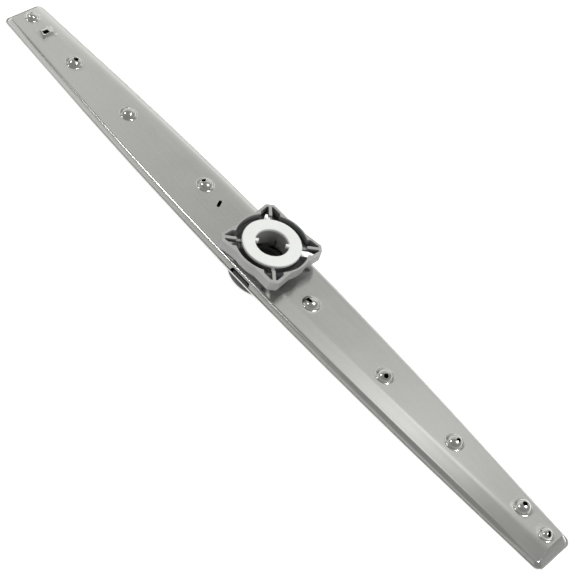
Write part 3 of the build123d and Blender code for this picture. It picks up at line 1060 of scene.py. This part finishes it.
def piece_from(shape: bmesh.types.BMesh, name: str, finish: Optional[bpy.types.Material]) -> bpy.types.Object:
    """Turn a mesh in the making into an object at the origin.

    Args:
        shape: the mesh in the making, freed here.
        name: the piece's name.
        finish: its material, if any.

    Returns:
        The object.
    """
    mesh = bpy.data.meshes.new(name)
    shape.to_mesh(mesh)
    shape.free()
    if finish:
        mesh.materials.clear()
        mesh.materials.append(finish)
        mesh.polygons.foreach_set("material_index", [0] * len(mesh.polygons))
    piece = bpy.data.objects.new(name, mesh)
    bpy.context.scene.collection.objects.link(piece)
    return piece


def bake(piece: bpy.types.Object) -> bpy.types.Mesh:
    """Turn a piece and its modifiers into a plain mesh, and take the modifiers off."""
    bpy.context.view_layer.update()
    mesh = bpy.data.meshes.new_from_object(piece.evaluated_get(bpy.context.evaluated_depsgraph_get()))
    piece.modifiers.clear()
    return mesh


def smooth(mesh: bpy.types.Mesh, degrees: float) -> None:
    """Shade a mesh smooth, but sharp at edges steeper than an angle."""
    mesh.shade_smooth()
    mesh.set_sharp_from_angle(angle=math.radians(degrees))


@dataclass(frozen=True)
class RecessShade:
    """Painted shade, darkest where a moulding is hemmed in by its own walls."""

    name: str = "recess_shade"
    rays: int = 96
    reach: float = 14.0
    band: Point = (0.26, 0.68)
    # Inside this radius, in the bore, no shade is painted.
    unshaded_bore: float = 15.5
    lift: float = 0.05
    grazing: float = 0.1

    def paint_shade_on(self, mesh: bpy.types.Mesh) -> None:
        """Store how hemmed in each vertex is, as its share of painted shade.

        Args:
            mesh: the finished moulding.
        """
        count = np.arange(self.rays) + 0.5
        rise = 1.0 - 2.0 * count / self.rays
        turn = count * TURN * GOLDEN
        level = np.sqrt(1.0 - rise * rise)
        ways = np.stack((level * np.cos(turn), level * np.sin(turn), rise), axis=1)
        tree = BVHTree.FromPolygons([v.co for v in mesh.vertices], [p.vertices for p in mesh.polygons])
        low, high = self.band
        shade_share = np.zeros(len(mesh.vertices))
        for k, vertex in enumerate(mesh.vertices):
            if math.hypot(vertex.co.x, vertex.co.y) < self.unshaded_bore * MM:
                continue
            facing = ways @ np.array(vertex.normal)
            start = vertex.co + vertex.normal * (self.lift * MM)
            seen = [(w, f) for w, f in zip(ways, facing) if f > self.grazing]
            met = sum(f for w, f in seen if tree.ray_cast(start, Vector(w), self.reach * MM)[0] is not None)
            share = (met / sum(f for _, f in seen) - low) / (high - low)
            shade_share[k] = min(max(share, 0.0), 1.0)
        mesh.attributes.new(self.name, "FLOAT", "POINT").data.foreach_set("value", shade_share)


@dataclass
class Softened:
    """A CAD node's form with its edges rounded as a tool leaves them."""

    node: str
    name: str
    round: float
    steps: int = 2
    bevel_angle: float = 40.0
    smooth_angle: float = 34.0
    sliver: float = 0.002
    flat_angle: float = 0.5

    def build(self, finish: bpy.types.Material) -> bpy.types.Object:
        """Copy the node and round its edges.

        Args:
            finish: the piece's material.

        Returns:
            The piece.
        """
        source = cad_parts[self.node].data
        shape = bmesh.new()
        verts = [shape.verts.new(v.co) for v in source.vertices]
        for polygon in source.polygons:
            shape.faces.new([verts[k] for k in polygon.vertices])
        bmesh.ops.remove_doubles(shape, verts=shape.verts, dist=WELD)
        bmesh.ops.dissolve_degenerate(shape, edges=shape.edges, dist=self.sliver * MM)
        flat = math.radians(self.flat_angle)
        bmesh.ops.dissolve_limit(shape, angle_limit=flat, verts=shape.verts, edges=shape.edges)
        piece = piece_from(shape, self.name, finish)
        soften = piece.modifiers.new("rounded", "BEVEL")
        soften.width = self.round * MM
        soften.segments = self.steps
        soften.limit_method = "ANGLE"
        soften.angle_limit = math.radians(self.bevel_angle)
        soften.use_clamp_overlap = True
        piece.data = bake(piece)
        smooth(piece.data, self.smooth_angle)
        return piece


@dataclass
class Arm:
    """The turning sub-assembly: both pressings, the bearing sleeve and the foot cup."""

    top: PressedTop = field(default_factory=PressedTop)
    tray: Softened = field(default_factory=lambda: Softened("lower_shell", "pressed_tray", 0.12, 2, 50.0))
    sleeve: Softened = field(default_factory=lambda: Softened("upper_hub", "bearing_sleeve", 0.3))
    foot: Softened = field(default_factory=lambda: Softened("lower_hub", "foot_cup", 0.3))

    def build(self, steel: bpy.types.Material, grey: bpy.types.Material) -> None:
        """Make the pieces and set them on the arm.

        Args:
            steel: the shells' finish.
            grey: the mouldings' finish.
        """
        top = self.top.build(steel)
        smooth(top.data, self.top.smooth_angle)
        settle(top, Body.ARM, "upper_shell")
        for part, finish, slot in (
            (self.tray, steel, Slot.STAINLESS),
            (self.sleeve, grey, Slot.GREY),
            (self.foot, grey, Slot.GREY),
        ):
            settle(part.build(finish), Body.ARM, part.node)


@dataclass
class Hub:
    """The standing sub-assembly: the lugged collar and the white ring."""

    collar: Softened = field(default_factory=lambda: Softened("hub_collar", "lugged_collar", 0.35, 3))
    ring: Softened = field(default_factory=lambda: Softened("bearing_ring", "white_ring", 0.3, 3, 25.0))

    def build(self, grey: bpy.types.Material, white: bpy.types.Material) -> None:
        """Make the pieces and set them on the collar's body.

        Args:
            grey: the moulding's finish.
            white: the ring's finish.
        """
        collar = self.collar.build(grey)
        # Painted shade: darken the collar where its own walls hem it in.
        RecessShade().paint_shade_on(collar.data)
        settle(collar, Body.COLLAR, self.collar.node)
        settle(self.ring.build(white), Body.COLLAR, self.ring.node)


def settle(piece: bpy.types.Object, body: Body, node: str) -> None:
    """Put a piece in a CAD node's stead.

    Args:
        piece: the finished piece.
        body: the body it rides on.
        node: the node it stands for.
    """
    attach(piece, body.value)
    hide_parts(node)
    LOG.info("%s stands for %s on %s, %d faces", piece.name, node, body.value, len(piece.data.polygons))


@dataclass(frozen=True)
class SoftBox:
    """A rectangular lamp: where it hangs, what it faces, its size in metres and its radiance."""

    name: str
    place: Point3
    aim: Point3
    size: Point
    radiance: float

    def hang(self) -> None:
        """Make the lamp."""
        lamp = bpy.data.lights.new(self.name, "AREA")
        lamp.shape = "RECTANGLE"
        lamp.size, lamp.size_y = self.size
        lamp.energy = self.radiance * math.pi * self.size[0] * self.size[1]
        holder = bpy.data.objects.new(self.name, lamp)
        holder.location = self.place
        holder.rotation_euler = (Vector(self.aim) - Vector(self.place)).to_track_quat("-Z", "Y").to_euler()
        holder.visible_camera = False
        bpy.context.scene.collection.objects.link(holder)


@dataclass(frozen=True)
class Glow:
    """A soft bright or dark patch of the surroundings: compass angle from +Y towards +X, height, width and strength."""

    azimuth: float
    height: float
    width: float
    strength: float

    def light(self, x: Val, y: Val, z: Val) -> Val:
        """How much the patch adds towards a direction.

        Args:
            x: the direction's first part.
            y: its second part.
            z: its third part.

        Returns:
            The added strength.
        """
        azimuth, height, width = (math.radians(a) for a in (self.azimuth, self.height, self.width))
        level = math.cos(height)
        near = x * (level * math.sin(azimuth)) + y * (level * math.cos(azimuth)) + z * math.sin(height)
        return ((near - 1.0) * (2.0 / width**2)).exp() * self.strength


@dataclass
class Studio:
    """The floor, the lamps, the surrounding light and the camera."""

    floor_size: float = 6.0
    floor_cells: int = 8
    eye: Point3 = (0.37163, -0.58580, 0.76295)
    aim: Point3 = (0.027115, -0.005155, 0.014)
    roll: float = 21.896
    lens: float = 96.077
    sensor: float = 36.0
    clip: Point = (0.01, 50.0)
    tint: Point3 = (1.0, 1.0, 0.99)
    bright_side: float = -50.0
    bright_band: Point = (0.25, 0.58)
    side_light: Point = (0.30, 0.43)
    low_light: float = 0.50
    low_band: Point = (0.42, 0.54)
    fade_band: Point = (0.16, 0.36)
    left_side: float = -130.0
    left_band: Point = (0.90, 1.0)
    horizon: Point = (0.32, 0.32)
    horizon_bell: Point = (0.12, 0.14)
    boxes: tuple[SoftBox, ...] = (
        SoftBox("lamp_left", (-1.02, -1.18, 1.55), (0.0, 0.0, 0.0), (0.32, 0.32), 18.0),
        SoftBox("lamp_right", (0.92, 0.53, 1.88), (0.0, 0.0, 0.0), (0.32, 0.32), 70.0),
    )
    glows: tuple[Glow, ...] = (
        Glow(-22.0, 56.2, 3.2, 1.30),
        Glow(-19.5, 50.2, 2.8, 0.13),
        Glow(-44.5, 42.5, 4.0, 0.10),
        Glow(-33.0, 46.5, 8.0, -0.22),
        Glow(-11.0, 60.5, 5.0, -0.15),
    )

    def build(self, paper: bpy.types.Material) -> None:
        """Set up the studio.

        Args:
            paper: the floor's finish.
        """
        self.floor(paper)
        for box in self.boxes:
            box.hang()
        self.surround()
        self.camera()
        bpy.context.scene.view_settings.view_transform = "Standard"

    def floor(self, paper: bpy.types.Material) -> None:
        """Lay the floor under the foot."""
        shape = bmesh.new()
        bmesh.ops.create_grid(shape, x_segments=self.floor_cells, y_segments=self.floor_cells, size=self.floor_size / 2)
        floor = piece_from(shape, "floor", paper)

    def surround(self) -> None:
        """Wrap the studio in soft light that changes with direction."""
        world = bpy.data.worlds.new("studio_light")
        world.use_nodes = True
        bpy.context.scene.world = world
        sheet = NodeSheet(world.node_tree)
        x, y, z = sheet.xyz(sheet.add("ShaderNodeTexCoord", None, None, "Generated"))
        side = math.radians(self.bright_side)
        share = (x * math.sin(side) + y * math.cos(side)).ramp(*self.bright_band)
        bright = self.side_light[1] + self.low_light * (1.0 - z.ramp(*self.low_band))
        light = self.side_light[0] + share * bright * z.ramp(*self.fade_band)
        left = math.radians(self.left_side)
        leftward = (x * math.sin(left) + y * math.cos(left)) / ((x * x + y * y).sqrt() + NUDGE)
        band = self.horizon[0] * (1.0 - share) + leftward.ramp(*self.left_band) * self.horizon[1]
        light = light + z.bell(*self.horizon_bell) * band
        for glow in self.glows:
            light = light + glow.light(x, y, z)
        back = next(n for n in world.node_tree.nodes if n.type == "BACKGROUND")
        world.node_tree.links.new(light.socket, back.inputs["Strength"])
        back.inputs["Color"].default_value = (*self.tint, 1.0)

    def camera(self) -> None:
        """Stand the camera where the photograph was taken from."""
        data = bpy.data.cameras.new("camera")
        data.lens = self.lens
        data.sensor_width = self.sensor
        data.sensor_fit = "HORIZONTAL"
        data.clip_start, data.clip_end = self.clip
        eye = bpy.data.objects.new("camera", data)
        ahead = (Vector(self.aim) - Vector(self.eye)).to_track_quat("-Z", "Y").to_matrix().to_4x4()
        eye.matrix_world = Matrix.Translation(self.eye) @ ahead @ Matrix.Rotation(math.radians(self.roll), 4, "Z")
        bpy.context.scene.collection.objects.link(eye)
        bpy.context.scene.camera = eye


def main() -> None:
    """Build and dress the spray arm, then the studio."""
    logging.basicConfig(level=logging.INFO, format="%(name)s: %(message)s")
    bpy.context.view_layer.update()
    steel = PressedSteel().material()
    grey = MouldedPlastic().material()
    white = RingPlastic().material()
    Arm().build(steel, grey)
    Hub().build(grey, white)
    Studio().build(FloorPaper().material())


if __name__ == "__main__":
    main()
